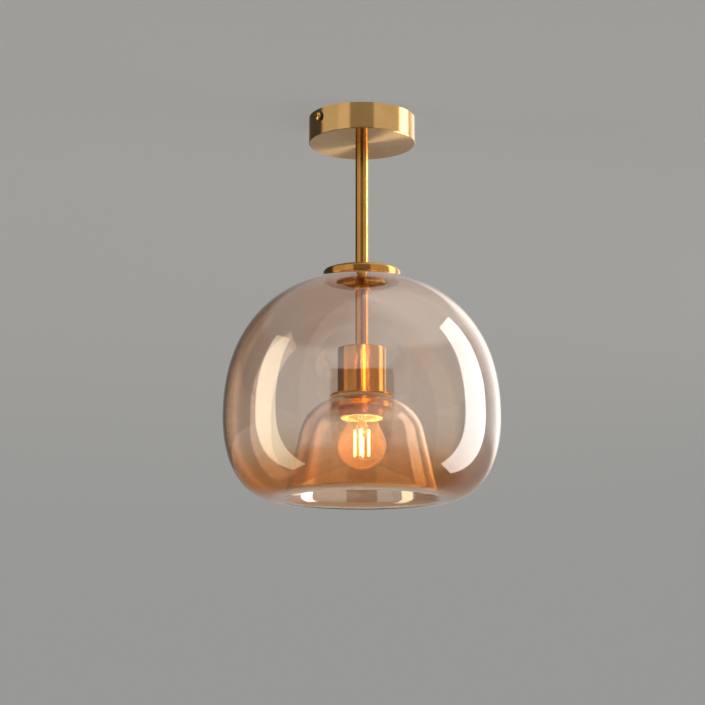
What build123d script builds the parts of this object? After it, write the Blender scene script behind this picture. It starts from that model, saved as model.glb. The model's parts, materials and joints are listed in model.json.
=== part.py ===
from build123d import *
import math
import os

# Semi flush ceiling light with a blown double-walled glass shade. Millimetres, +Z up.
# The origin is on the ceiling plane, on the lamp's axis. The mounting bracket and the two
# side screws lie along X. Everything hangs below z = 0.

# ---- driving dimensions ----

# canopy: a spun brass dish, open towards the ceiling
canopy_radius = 50.0
canopy_height = 25.0
canopy_wall = 1.2
canopy_edge_round = 0.8

# mounting bracket: a steel strip with two ears bent down
bracket_thickness = 1.5
bracket_width = 18.0
bracket_bore_radius = 5.3
bracket_bend_round = 1.2
ear_drop = 13.5
ear_gap = 0.5
ceiling_slot_spacing = 72.0
ceiling_slot_width = 5.0
ceiling_slot_length = 12.0

# side screws that hold the canopy on the bracket's ears
side_screw_drop = 8.0
side_screw_radius = 2.0
side_screw_length = 10.5
side_head_radius = 4.0
side_head_height = 2.8
side_head_round = 1.7
side_slot_width = 1.0
side_slot_depth = 1.1
side_washer_radius = 5.0
side_washer_thickness = 0.8
ear_nut_width = 7.0
ear_nut_height = 3.2

# terminal block and earth connection on the bracket
block_length = 16.0
block_pitch = 8.0
block_height = 12.0
block_centre_x = 21.0
block_edge_round = 1.2
terminal_count = 3
terminal_depth = 6.5
terminal_tube_radius = 1.9
terminal_tube_bore = 1.2
terminal_tube_length = 13.0
terminal_screw_radius = 1.2
terminal_screw_pitch = 8.0
terminal_screw_recess = 1.0
block_screw_radius = 1.5
block_screw_head_radius = 2.7
block_screw_head_height = 1.8
screw_end_setback = 0.2
earth_screw_x = -16.0
earth_screw_radius = 2.0
earth_head_radius = 3.8
earth_head_height = 2.5
earth_ring_radius = 4.4
earth_ring_thickness = 0.8
earth_barrel_radius = 1.5
earth_barrel_length = 7.0
earth_barrel_overlap = 0.6
earth_barrel_turn = 53.0

# rod, hollow brass tube, with a threaded nipple in each end
rod_radius = 6.0
rod_wall = 0.9
rod_length = 197.0
nipple_radius = 5.0
nipple_bore = 3.5
nipple_hold = 12.0
upper_nipple_rise = 8.0
lower_nipple_drop = 10.0
locknut_width = 14.0
locknut_height = 3.0
star_washer_radius = 9.0
star_washer_thickness = 0.8
star_tooth_depth = 1.2
star_tooth_count = 12

# socket cup: brass cover over the lampholder, with a flange that presses on the gasket
cup_radius = 22.5
cup_height = 44.0
cup_wall = 1.2
cup_edge_round = 1.0
cup_flange_radius = 29.0
cup_flange_thickness = 1.8
cup_flange_round = 0.7
cup_flange_fillet = 1.5

# lampholder of the large screw size
holder_top_radius = 19.0
holder_boss_radius = 8.5
holder_boss_height = 5.0
holder_shoulder_height = 8.0
holder_top_height = 25.0
holder_wall = 2.2
holder_roof = 1.5
holder_thread_radius = 19.9
holder_thread_depth = 0.7
holder_thread_pitch = 2.0
holder_lead_in = 0.5
holder_below_cup = 21.5
holder_mouth_radius = 18.3
holder_mouth_depth = 7.5
holder_mouth_taper = 1.2
carrier_radius = 16.4
carrier_thickness = 6.0
carrier_seat = 2.0
shell_wall = 0.9
shell_flange = 1.2
shell_flange_thickness = 0.8
contact_strip_thickness = 0.5
contact_strip_width = 6.0
contact_strip_drop = 3.3
contact_foot_length = 4.0
contact_slope_length = 3.5
contact_tip_length = 4.0
post_offset = 10.0
post_width = 5.0
post_height = 3.4
post_screw_radius = 1.4
post_screw_reach = 1.6
post_screw_sink = 0.2

# glass shade: outer globe, rolled lip and a dome that rises inside it
glass_thickness = 2.5
globe_radius = 127.9
globe_crown_height = 133.7
globe_crown_power = 2.25
globe_lower_height = 76.9
globe_lower_power = 2.21
globe_lip_ring_radius = 75.5
lip_radius = 9.5
dome_depth = 94.5
dome_shoulder_radius = 40.5
dome_wall_slope = 11.8
dome_hole_radius = 20.9
crown_hole_radius = 24.0

# seals and the threaded ring that clamp the shade against the cup
gasket_radius = 28.2
gasket_thickness = 0.7
ring_gasket_rim = 1.0
ring_flange_radius = 28.5
ring_flange_height = 5.9
ring_collar_radius = 22.0
ring_collar_height = 7.0
ring_edge_round = 1.2
ring_lead_in = 0.8
ring_rib_depth = 0.5
ring_rib_pitch = 1.3
ring_rib_count = 4

# cap that covers the shade's upper hole, and its stop collar on the rod
cap_radius = 36.0
cap_height = 7.2
cap_wall = 1.2
cap_edge_round = 2.4
cap_neck_radius = 7.8
cap_neck_height = 3.0
collar_radius = 8.5
collar_height = 5.0
collar_below_cap = 13.4
collar_edge_round = 0.6
grub_screw_radius = 1.5
grub_socket_depth = 1.0

# light bulb: small round filament style, large screw cap
bulb_length = 78.0
bulb_radius = 22.5
bulb_glass_wall = 0.8
bulb_cap_radius = 13.15
bulb_cap_wall = 0.6
bulb_cap_length = 22.0
bulb_thread_depth = 1.0
bulb_thread_pitch = 3.629
bulb_thread_turns = 4
bulb_thread_start = 3.0
bulb_skirt_length = 1.5
bulb_neck_drop = 0.5
bulb_top_radius = 10.5
bulb_insulator_height = 4.0
bulb_contact_radius = 4.6
bulb_contact_height = 2.0
bulb_contact_round = 1.4
bulb_insulator_rim = 1.0
stem_radius = 3.2
stem_length = 20.0
stem_flare_height = 5.0
stem_flare_rim = 0.8
stem_rise = 1.0
stem_pinch_radius = 1.9
stem_pinch_length = 3.0
filament_count = 4
filament_radius = 1.0
filament_length = 28.0
filament_ring_radius = 6.5
filament_above_bottom = 11.0
support_wire_radius = 0.35
support_wire_reach = 1.2
support_hub_radius = 1.2
support_hub_height = 0.9

# wires
wire_radius = 0.8
wire_gap = 1.4
wire_in_terminal = 3.0
wire_clear_of_block = 4.5
wire_above_nipple = 4.0
wire_below_nipple = 3.0
wire_above_post = 5.0
earth_wire_past_barrel = 4.0
earth_wire_end_gap = 0.2
earth_wire_bow = (1.0, 13.5)
earth_wire_bow_drop = -1.5
earth_wire_turn_x = 5.0

# clearances
thread_gap = 0.1
slide_gap = 0.1
seat_gap = 0.05
rest_gap = 0.3
hole_gap = 0.4
gasket_bore_gap = 0.4

# how far each cut runs past what it cuts
cut_over = 1.0

# ---- levels and radii that follow ----

rod_top_z = -canopy_height
cup_top_z = rod_top_z - rod_length
cup_bottom_z = cup_top_z - cup_height
flange_bottom_z = cup_bottom_z - cup_flange_thickness
dome_top_z = flange_bottom_z - gasket_thickness
rim_z = dome_top_z - dome_depth
widest_z = rim_z + globe_lower_height
rod_bore = rod_radius - rod_wall
gasket_bore = holder_thread_radius + gasket_bore_gap

plate_top_z = rod_top_z + canopy_wall
cup_plate_z = cup_top_z - canopy_wall
upper_nipple_top = plate_top_z + upper_nipple_rise
lower_nipple_bottom = cup_plate_z - lower_nipple_drop
holder_top_z = cup_plate_z - star_washer_thickness - locknut_height - rest_gap
holder_split_z = holder_top_z - holder_top_height
holder_bottom_z = cup_bottom_z - holder_below_cup
shell_step_z = holder_bottom_z + holder_mouth_depth
carrier_bottom_z = holder_split_z - carrier_seat
carrier_top_z = carrier_bottom_z + carrier_thickness
bulb_tip_z = carrier_bottom_z - contact_strip_drop - contact_strip_thickness - rest_gap
bulb_bottom_z = bulb_tip_z - bulb_length
bulb_centre_z = bulb_bottom_z + bulb_radius
shell_bore = bulb_cap_radius + thread_gap
shell_radius = shell_bore + shell_wall

ear_outer_x = math.sqrt((canopy_radius - canopy_wall) ** 2 - (bracket_width / 2) ** 2) - ear_gap
ear_inner_x = ear_outer_x - bracket_thickness

# ---- small helpers ----


def lathe(*profile):
    """Solid of revolution about Z from a closed (radius, z) outline."""
    outline = Polyline(*[(radius, 0, z) for radius, z in profile], close=True)
    return revolve(make_face(outline), Axis.Z, 360)


def tube(outer, inner, low, high):
    return lathe((inner, low), (outer, low), (outer, high), (inner, high))


def rod_between(radius, low, high, x=0.0, y=0.0):
    return Pos(x, y, low) * Cylinder(radius, high - low, align=(Align.CENTER, Align.CENTER, Align.MIN))


def along_x(radius, low, high, y, z):
    return Pos(low, y, z) * Rot(0, 90, 0) * Cylinder(
        radius, high - low, align=(Align.CENTER, Align.CENTER, Align.MIN))


def box_between(low, high):
    size = [b - a for a, b in zip(low, high)]
    return Pos(*low) * Box(*size, align=(Align.MIN, Align.MIN, Align.MIN))


def round_rims(body, amount, *rims):
    """Rounds the circular edges that have the given (radius, z)."""
    circles = body.edges().filter_by(GeomType.CIRCLE)
    chosen = [edge for edge in circles for radius, z in rims
              if abs(edge.radius - radius) < 0.01 and abs(edge.arc_center.Z - z) < 0.01]
    return fillet(chosen, amount)


def hexagon(width, bore, low, high):
    body = extrude(Pos(0, 0, low) * RegularPolygon(width / 2, 6, major_radius=False), high - low)
    return body - rod_between(bore, low - cut_over, high + cut_over)


def bent_path(points):
    """A line through the points with arcs as large as its runs allow, and the arcs' radii."""
    vectors = [Vector(*point) for point in points]
    radii = []
    for before, corner, after in zip(vectors, vectors[1:], vectors[2:]):
        run_in, run_out = corner - before, after - corner
        turn = math.radians(run_in.get_angle(run_out))
        radii.append(0.45 * min(run_in.length, run_out.length) / math.tan(turn / 2))
    return FilletPolyline(*vectors, radius=radii), radii


def wire_on(path, radius):
    section = Plane(origin=path @ 0, z_dir=path % 0) * Circle(radius)
    return sweep(section, path=path)


def insulated_wire(points):
    path, radii = bent_path(points)
    body = wire_on(path, wire_radius)
    ideal = math.pi * wire_radius ** 2 * path.length
    print(f"wire length {path.length:.1f}, radii {[round(r, 1) for r in radii]}, "
          f"volume ratio {body.volume / ideal:.4f}")
    return body


def ribbed_side(radius, depth, pitch, low, count, facets=8):
    """Points up a ribbed side: a wave of rings that stands for a screw thread."""
    points = []
    for step in range(count * facets + 1):
        wave = (1 - math.cos(2 * math.pi * step / facets)) / 2
        points.append((radius - depth + depth * wave, low + pitch * step / facets))
    return points


# ---- glass shade ----


def crown_point(angle, inset=0.0):
    """Globe above its widest ring: a superellipse, set in along its own normal."""
    radius = globe_radius * math.sin(angle) ** (2 / globe_crown_power)
    height = globe_crown_height * math.cos(angle) ** (2 / globe_crown_power)
    normal = Vector(radius ** (globe_crown_power - 1) / globe_radius ** globe_crown_power, 0,
                    height ** (globe_crown_power - 1) / globe_crown_height ** globe_crown_power)
    return Vector(radius, 0, widest_z + height) - normal.normalized() * inset


def lower_point(angle, inset=0.0):
    """Globe below its widest ring, drawn in to the ring where the lip starts."""
    span = globe_radius - globe_lip_ring_radius
    reach = span * math.cos(angle) ** (2 / globe_lower_power)
    height = globe_lower_height * math.sin(angle) ** (2 / globe_lower_power)
    normal = Vector(reach ** (globe_lower_power - 1) / span ** globe_lower_power, 0,
                    -height ** (globe_lower_power - 1) / globe_lower_height ** globe_lower_power)
    return Vector(globe_lip_ring_radius + reach, 0, widest_z - height) - normal.normalized() * inset


def crown_angle(radius):
    return math.asin((radius / globe_radius) ** (globe_crown_power / 2))


def crown_height_at(radius):
    return crown_point(crown_angle(radius)).Z


slope = math.radians(dome_wall_slope)
shoulder_centre_z = dome_top_z - dome_shoulder_radius
lip_centre_z = rim_z + lip_radius
lip_meet = Vector(globe_lip_ring_radius - (lip_radius - glass_thickness) * math.cos(slope), 0,
                  lip_centre_z - (lip_radius - glass_thickness) * math.sin(slope))
shoulder_meet_z = shoulder_centre_z + dome_shoulder_radius * math.sin(slope)
shoulder_centre_x = (lip_meet.X - (shoulder_meet_z - lip_meet.Z) * math.tan(slope)
                     - dome_shoulder_radius * math.cos(slope))


def shoulder_z(radius, inset=0.0):
    """Height of the dome's shoulder at a radius, for its upper face or one set in below it."""
    arm = dome_shoulder_radius - inset
    return shoulder_centre_z + math.sqrt(arm ** 2 - max(radius - shoulder_centre_x, 0) ** 2)


def shade_face_edges(inset):
    """One face of the shade in half section, from the upper hole round to the dome's hole."""
    steps = 9
    start = crown_angle(crown_hole_radius)
    crown = [crown_point(start + (math.pi / 2 - start) * i / steps, inset) for i in range(steps + 1)]
    lower = [lower_point(math.pi / 2 * i / steps, inset) for i in range(1, steps + 1)]
    heading = crown_point(start + 0.001, inset) - crown[0]
    globe = Spline(*crown, *lower, tangents=[heading.normalized(), Vector(-1, 0, 0)])
    lip_centre = Vector(globe_lip_ring_radius, 0, lip_centre_z)
    lip_arm = lip_radius - inset
    lip_end = lip_centre + Vector(-math.cos(slope), 0, -math.sin(slope)) * lip_arm
    lip_mid = lip_centre + Vector(-math.sin(math.pi / 4 - slope / 2), 0,
                                  -math.cos(math.pi / 4 - slope / 2)) * lip_arm
    lip = ThreePointArc(lower[-1], lip_mid, lip_end)
    shoulder_centre = Vector(shoulder_centre_x, 0, shoulder_centre_z)
    arm = dome_shoulder_radius - glass_thickness + inset
    wall_end = shoulder_centre + Vector(math.cos(slope), 0, math.sin(slope)) * arm
    hole_rise = math.sqrt(arm ** 2 - (dome_hole_radius - shoulder_centre_x) ** 2)
    hole_end = Vector(dome_hole_radius, 0, shoulder_centre_z + hole_rise)
    end_turn = math.atan2(hole_rise, dome_hole_radius - shoulder_centre_x)
    middle = (slope + end_turn) / 2
    shoulder_mid = shoulder_centre + Vector(math.cos(middle), 0, math.sin(middle)) * arm
    wall = Line(lip_end, wall_end)
    shoulder = ThreePointArc(wall_end, shoulder_mid, hole_end)
    return [globe, lip, wall, shoulder], crown[0], hole_end


def make_glass_shade():
    air_side, air_start, air_end = shade_face_edges(0.0)
    cavity_side, cavity_start, cavity_end = shade_face_edges(glass_thickness)
    closing = [Line(air_start, cavity_start), Line(air_end, cavity_end)]
    section = make_face(air_side + cavity_side + closing)
    return revolve(section, Axis.Z, 360)


def shaped_washer(outer, bore, flat_z, curve_inset, gap):
    """A moulded washer with one flat face and one that follows the dome's shoulder."""
    arm = dome_shoulder_radius - curve_inset + gap
    centre = Vector(shoulder_centre_x, 0, shoulder_centre_z)

    def on_curve(radius):
        return Vector(radius, 0, centre.Z + math.sqrt(arm ** 2 - max(radius - centre.X, 0) ** 2))

    inner_low, outer_low = Vector(bore, 0, flat_z), Vector(outer, 0, flat_z)
    curve = ThreePointArc(on_curve(bore), on_curve((bore + outer) / 2), on_curve(outer))
    outline = [Line(inner_low, on_curve(bore)), curve, Line(on_curve(outer), outer_low),
               Line(outer_low, inner_low)]
    return revolve(make_face(outline), Axis.Z, 360)


# the upper gasket follows the shoulder's upper face, the lower one its underside
ring_gasket_flat_z = shoulder_z(ring_flange_radius, glass_thickness) - ring_gasket_rim
ring_top_z = ring_gasket_flat_z
ring_flange_bottom = ring_top_z - ring_flange_height
ring_bottom_z = ring_flange_bottom - ring_collar_height


def make_shade_ring():
    bore = holder_thread_radius + thread_gap
    root = ring_collar_radius - ring_rib_depth
    ribs = ribbed_side(ring_collar_radius, ring_rib_depth, ring_rib_pitch, ring_bottom_z + ring_lead_in,
                       ring_rib_count)
    ring = lathe((bore, ring_bottom_z), (root, ring_bottom_z), *ribs, (root, ring_flange_bottom),
                 (ring_flange_radius, ring_flange_bottom), (ring_flange_radius, ring_top_z),
                 (bore, ring_top_z))
    return round_rims(ring, ring_edge_round, (ring_flange_radius, ring_flange_bottom))


# ---- cap and stop collar ----

cap_rim_z = crown_height_at(cap_radius - cap_wall) + rest_gap
cap_top_z = cap_rim_z + cap_height
collar_top_z = cap_top_z - collar_below_cap


def make_shade_cap():
    bore = rod_radius + slide_gap
    under = cap_top_z - cap_wall
    neck_end = under - cap_neck_height
    inner = cap_radius - cap_wall
    dish = lathe((bore, neck_end), (cap_neck_radius, neck_end), (cap_neck_radius, under),
                 (inner, under), (inner, cap_rim_z), (cap_radius, cap_rim_z),
                 (cap_radius, cap_top_z), (bore, cap_top_z))
    dish = round_rims(dish, cap_edge_round, (cap_radius, cap_top_z))
    return round_rims(dish, cap_edge_round / 2, (inner, under))


def make_stop_collar():
    bore = rod_radius + seat_gap
    low = collar_top_z - collar_height
    ring = round_rims(tube(collar_radius, bore, low, collar_top_z), collar_edge_round,
                      (collar_radius, low), (collar_radius, collar_top_z))
    middle = collar_top_z - collar_height / 2
    hole = along_x(grub_screw_radius + seat_gap, 0, collar_radius + cut_over, 0, middle)
    grub = along_x(grub_screw_radius, bore, collar_radius - seat_gap, 0, middle)
    socket = along_x(grub_screw_radius / 2, collar_radius - grub_socket_depth, collar_radius, 0, middle)
    return ring - hole, grub - socket


# ---- canopy and bracket ----


def make_canopy():
    inner = canopy_radius - canopy_wall
    dish = lathe((nipple_radius + hole_gap, rod_top_z), (canopy_radius, rod_top_z),
                 (canopy_radius, 0), (inner, 0), (inner, plate_top_z),
                 (nipple_radius + hole_gap, plate_top_z))
    dish = round_rims(dish, canopy_edge_round, (canopy_radius, rod_top_z))
    reach = canopy_radius + cut_over
    return dish - along_x(side_screw_radius + hole_gap, -reach, reach, 0, -side_screw_drop)


def make_bracket():
    half = bracket_width / 2
    strip = box_between((-ear_outer_x, -half, -bracket_thickness), (ear_outer_x, half, 0))
    ears = [box_between((min(a, b), -half, -ear_drop), (max(a, b), half, 0))
            for a, b in ((ear_inner_x, ear_outer_x), (-ear_inner_x, -ear_outer_x))]
    body = strip + ears
    slot = SlotOverall(ceiling_slot_length, ceiling_slot_width)
    low = -bracket_thickness - cut_over
    for side in (-1, 1):
        body -= extrude(Pos(side * ceiling_slot_spacing / 2, 0, low) * slot, cut_over - low)
    body -= rod_between(bracket_bore_radius, low, cut_over)
    body -= rod_between(earth_screw_radius + seat_gap, low, cut_over, earth_screw_x)
    body -= rod_between(block_screw_radius + seat_gap, low, cut_over, block_centre_x, -block_pitch / 2)
    reach = ear_outer_x + cut_over
    body -= along_x(side_screw_radius + seat_gap, -reach, reach, 0, -side_screw_drop)
    bends = [edge for edge in body.edges().filter_by(Axis.Y)
             if abs(abs(edge.center().X) - ear_outer_x) < 0.01 and abs(edge.center().Z) < 0.01]
    return fillet(bends, bracket_bend_round)


def make_ear_nuts():
    nut = Rot(0, 90, 0) * hexagon(ear_nut_width, side_screw_radius + seat_gap, 0, ear_nut_height)
    return [Pos(ear_inner_x - ear_nut_height, 0, -side_screw_drop) * nut,
            Pos(-ear_inner_x, 0, -side_screw_drop) * nut]


def make_side_screw():
    """Slotted cheese-head screw that points along -X into the right-hand ear."""
    seat_x = canopy_radius + seat_gap + side_washer_thickness
    head = along_x(side_head_radius, seat_x, seat_x + side_head_height, 0, 0)
    crown = head.edges().filter_by(GeomType.CIRCLE).sort_by(Axis.X)[-1]
    head = fillet(crown, side_head_round)
    shank = along_x(side_screw_radius, seat_x - side_screw_length, seat_x, 0, 0)
    top_x = seat_x + side_head_height
    slot = box_between((top_x - side_slot_depth, -side_head_radius, -side_slot_width / 2),
                       (top_x + cut_over, side_head_radius, side_slot_width / 2))
    return Pos(0, 0, -side_screw_drop) * (head + shank - slot)


def make_side_washer():
    ring = tube(side_washer_radius, side_screw_radius + seat_gap, 0, side_washer_thickness)
    return Pos(canopy_radius + seat_gap, 0, -side_screw_drop) * Rot(0, 90, 0) * ring


def make_star_washer(low):
    ring = tube(star_washer_radius, nipple_radius + hole_gap, low, low + star_washer_thickness)
    tooth = Pos(star_washer_radius, 0, low - cut_over) * Rot(0, 0, 45) * Box(
        star_tooth_depth * 2, star_tooth_depth * 2, star_washer_thickness + 2 * cut_over,
        align=(Align.CENTER, Align.CENTER, Align.MIN))
    gaps = [Rot(0, 0, 360 * i / star_tooth_count) * tooth for i in range(star_tooth_count)]
    return ring - gaps


# ---- terminal block and earth ----

block_top_z = -bracket_thickness
block_bottom_z = block_top_z - block_height
block_width = block_pitch * terminal_count
terminal_z = block_top_z - terminal_depth
terminal_rows = [block_pitch * (i - (terminal_count - 1) / 2) for i in range(terminal_count)]
terminal_columns = [block_centre_x - terminal_screw_pitch / 2, block_centre_x + terminal_screw_pitch / 2]
block_inner_x = block_centre_x - block_length / 2


def make_terminal_block():
    body = box_between((block_inner_x, -block_width / 2, block_bottom_z),
                       (block_inner_x + block_length, block_width / 2, block_top_z))
    body = fillet(body.edges().filter_by(Axis.X), block_edge_round)
    low = block_bottom_z - cut_over
    for y in terminal_rows:
        body -= along_x(terminal_tube_radius + seat_gap, block_inner_x - cut_over,
                        block_inner_x + block_length + cut_over, y, terminal_z)
        for x in terminal_columns:
            body -= rod_between(terminal_screw_radius + seat_gap, low, terminal_z, x, y)
    return body - rod_between(block_screw_radius + seat_gap, low, 0, block_centre_x, -block_pitch / 2)


def make_terminal_tubes():
    tubes = []
    for y in terminal_rows:
        low = block_centre_x - terminal_tube_length / 2
        high = low + terminal_tube_length
        body = along_x(terminal_tube_radius, low, high, y, terminal_z)
        body -= along_x(terminal_tube_bore, low - cut_over, high + cut_over, y, terminal_z)
        for x in terminal_columns:
            body -= rod_between(terminal_screw_radius + seat_gap, block_bottom_z, terminal_z, x, y)
        tubes.append(body)
    return tubes


def make_terminal_screws():
    low = block_bottom_z + terminal_screw_recess
    high = terminal_z - wire_radius - seat_gap
    return [rod_between(terminal_screw_radius, low, high, x, y)
            for y in terminal_rows for x in terminal_columns]


def make_block_screw():
    y = -block_pitch / 2
    head = rod_between(block_screw_head_radius, block_bottom_z - block_screw_head_height,
                       block_bottom_z, block_centre_x, y)
    return head + rod_between(block_screw_radius, block_bottom_z, -screw_end_setback, block_centre_x, y)


earth_ring_bottom = -bracket_thickness - earth_ring_thickness
barrel_z = -bracket_thickness - earth_barrel_radius - seat_gap


def make_earth_screw():
    head = rod_between(earth_head_radius, earth_ring_bottom - earth_head_height,
                       earth_ring_bottom, earth_screw_x)
    return head + rod_between(earth_screw_radius, earth_ring_bottom, -screw_end_setback, earth_screw_x)


def barrel_point(distance):
    turn = math.radians(earth_barrel_turn)
    return earth_screw_x + distance * math.cos(turn), distance * math.sin(turn), barrel_z


def make_earth_terminal():
    ring = rod_between(earth_ring_radius, earth_ring_bottom, -bracket_thickness)
    barrel = along_x(earth_barrel_radius, earth_ring_radius - earth_barrel_overlap,
                     earth_ring_radius + earth_barrel_length, 0, barrel_z)
    body = Rot(0, 0, earth_barrel_turn) * (ring + barrel)
    body -= rod_between(earth_screw_radius + seat_gap, earth_ring_bottom - cut_over, 0)
    body = Pos(earth_screw_x, 0, 0) * body
    mouth = Vector(*barrel_point(earth_ring_radius + earth_barrel_length / 2))
    bore = Plane(origin=mouth, z_dir=Vector(*barrel_point(1)) - Vector(*barrel_point(0)))
    return body - bore * Cylinder(wire_radius + seat_gap, earth_barrel_length,
                                  align=(Align.CENTER, Align.CENTER, Align.MIN))


# ---- rod, cup and nipples ----


def make_nipple(low, high):
    return tube(nipple_radius, nipple_bore, low, high)


def make_socket_cup():
    inner = cup_radius - cup_wall
    cup = lathe((nipple_radius + hole_gap, cup_plate_z), (inner, cup_plate_z), (inner, flange_bottom_z),
                (cup_flange_radius, flange_bottom_z), (cup_flange_radius, cup_bottom_z),
                (cup_radius, cup_bottom_z), (cup_radius, cup_top_z),
                (nipple_radius + hole_gap, cup_top_z))
    cup = round_rims(cup, cup_edge_round, (cup_radius, cup_top_z))
    cup = round_rims(cup, cup_flange_fillet, (cup_radius, cup_bottom_z))
    return round_rims(cup, cup_flange_round, (cup_flange_radius, flange_bottom_z),
                      (cup_flange_radius, cup_bottom_z))


# ---- lampholder ----


def make_holder_top():
    boss_bottom = holder_top_z - holder_boss_height
    shoulder_low = boss_bottom - holder_shoulder_height
    inner = holder_top_radius - holder_wall
    bore = nipple_radius + seat_gap
    roof_z = boss_bottom - holder_roof
    return lathe((bore, holder_top_z), (holder_boss_radius, holder_top_z),
                 (holder_boss_radius, boss_bottom), (holder_top_radius, shoulder_low),
                 (holder_top_radius, holder_split_z), (inner, holder_split_z),
                 (inner, shoulder_low), (holder_boss_radius, roof_z), (bore, roof_z))


def make_holder_body():
    count = int((cup_bottom_z - holder_bottom_z) / holder_thread_pitch)
    thread = ribbed_side(holder_thread_radius, holder_thread_depth, holder_thread_pitch,
                         holder_bottom_z + holder_lead_in, count, facets=4)
    seat = carrier_radius + seat_gap
    outline = [(holder_mouth_radius, holder_bottom_z),
               (holder_thread_radius - holder_thread_depth, holder_bottom_z)]
    outline += thread
    outline += [(holder_thread_radius - holder_thread_depth, holder_split_z),
                (seat, holder_split_z), (seat, carrier_bottom_z),
                (shell_radius + seat_gap, carrier_bottom_z), (shell_radius + seat_gap, shell_step_z),
                (holder_mouth_radius - holder_mouth_taper, shell_step_z)]
    return lathe(*outline)


def make_screw_shell():
    low = shell_step_z - shell_flange_thickness
    flange = shell_radius + shell_flange
    return lathe((shell_bore, low), (flange, low), (flange, shell_step_z), (shell_radius, shell_step_z),
                 (shell_radius, carrier_bottom_z), (shell_bore, carrier_bottom_z))


def make_centre_contact():
    """A springy strip: a foot under the carrier, a slope, and a tip on the lamp's axis."""
    top = carrier_bottom_z
    tip_top = top - contact_strip_drop
    thick = contact_strip_thickness
    tip_end = contact_tip_length / 2
    bend = -tip_end - contact_slope_length
    foot = bend - contact_foot_length
    outline = Polyline((foot, 0, top), (bend, 0, top), (-tip_end, 0, tip_top), (tip_end, 0, tip_top),
                       (tip_end, 0, tip_top - thick), (-tip_end, 0, tip_top - thick),
                       (bend, 0, top - thick), (foot, 0, top - thick), close=True)
    return extrude(make_face(outline), contact_strip_width / 2, both=True)


def make_holder_posts():
    posts = []
    for side in (-1, 1):
        body = Pos(0, side * post_offset, carrier_top_z) * Box(
            post_width, post_width, post_height, align=(Align.CENTER, Align.CENTER, Align.MIN))
        face = post_width / 2
        screw = along_x(post_screw_radius, face - post_screw_sink, face + post_screw_reach,
                        side * post_offset, carrier_top_z + post_height / 2)
        posts.append(body + screw)
    return posts


# ---- light bulb ----

bulb_cap_top = bulb_tip_z - bulb_contact_height - bulb_insulator_height
bulb_cap_bottom = bulb_cap_top - bulb_cap_length
bulb_neck_radius = bulb_cap_radius - bulb_cap_wall - seat_gap


def make_bulb_contact():
    button = rod_between(bulb_contact_radius, bulb_tip_z - bulb_contact_height, bulb_tip_z)
    return round_rims(button, bulb_contact_round, (bulb_contact_radius, bulb_tip_z))


def make_bulb_insulator():
    high = bulb_tip_z - bulb_contact_height
    return lathe((0, bulb_cap_top), (bulb_top_radius, bulb_cap_top),
                 (bulb_contact_radius + bulb_insulator_rim, high), (0, high))


def make_bulb_screw_cap():
    crest = bulb_cap_radius
    thread_low = bulb_cap_bottom + bulb_thread_start
    thread = ribbed_side(crest, bulb_thread_depth, bulb_thread_pitch, thread_low, bulb_thread_turns)
    outer = [(crest, bulb_cap_bottom), (crest, bulb_cap_bottom + bulb_skirt_length)] + thread
    outer += [(bulb_top_radius, bulb_cap_top)]
    inner_radius = crest - bulb_thread_depth - bulb_cap_wall
    inner = [(bulb_top_radius - bulb_cap_wall, bulb_cap_top), (inner_radius, thread[-1][1]),
             (inner_radius, thread_low), (crest - bulb_cap_wall, thread_low - bulb_cap_wall),
             (crest - bulb_cap_wall, bulb_cap_bottom)]
    return lathe(*outer, *inner)


def bulb_outline(inset):
    """Half section of the glass: neck, straight cone that is tangent to the ball, and the ball."""
    neck = Vector(bulb_neck_radius - inset, 0, bulb_cap_bottom + bulb_skirt_length)
    arm = bulb_radius - inset
    centre = Vector(0, 0, bulb_centre_z)
    start = Vector(neck.X, 0, bulb_cap_bottom - bulb_neck_drop)
    reach = start - centre
    lean = math.acos(arm / reach.length)
    turn = math.atan2(reach.Z, reach.X) - lean
    meet = centre + Vector(math.cos(turn), 0, math.sin(turn)) * arm
    low_turn = (turn - math.pi / 2) / 2
    middle = centre + Vector(math.cos(low_turn), 0, math.sin(low_turn)) * arm
    bottom = centre - Vector(0, 0, arm)
    return [Line(neck, start), Line(start, meet), ThreePointArc(meet, middle, bottom)], neck, bottom


def make_bulb_glass():
    outer, outer_neck, outer_bottom = bulb_outline(0.0)
    inner, inner_neck, inner_bottom = bulb_outline(bulb_glass_wall)
    closing = [Line(outer_neck, inner_neck), Line(outer_bottom, inner_bottom)]
    return revolve(make_face(outer + inner + closing), Axis.Z, 360)


stem_top = bulb_cap_bottom + stem_rise
stem_low = stem_top - stem_length
filament_low = bulb_bottom_z + filament_above_bottom
filament_high = filament_low + filament_length


def make_bulb_stem():
    flare = bulb_neck_radius - bulb_glass_wall - seat_gap
    return lathe((0, stem_low), (stem_pinch_radius, stem_low), (stem_radius, stem_low + stem_pinch_length),
                 (stem_radius, stem_top - stem_flare_height), (flare, stem_top - stem_flare_rim),
                 (flare, stem_top), (0, stem_top))


filament_turns = [Rot(0, 0, 360 * (i + 0.5) / filament_count) for i in range(filament_count)]


def make_led_filaments():
    filament = rod_between(filament_radius, filament_low, filament_high, filament_ring_radius)
    return [turn * filament for turn in filament_turns]


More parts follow.
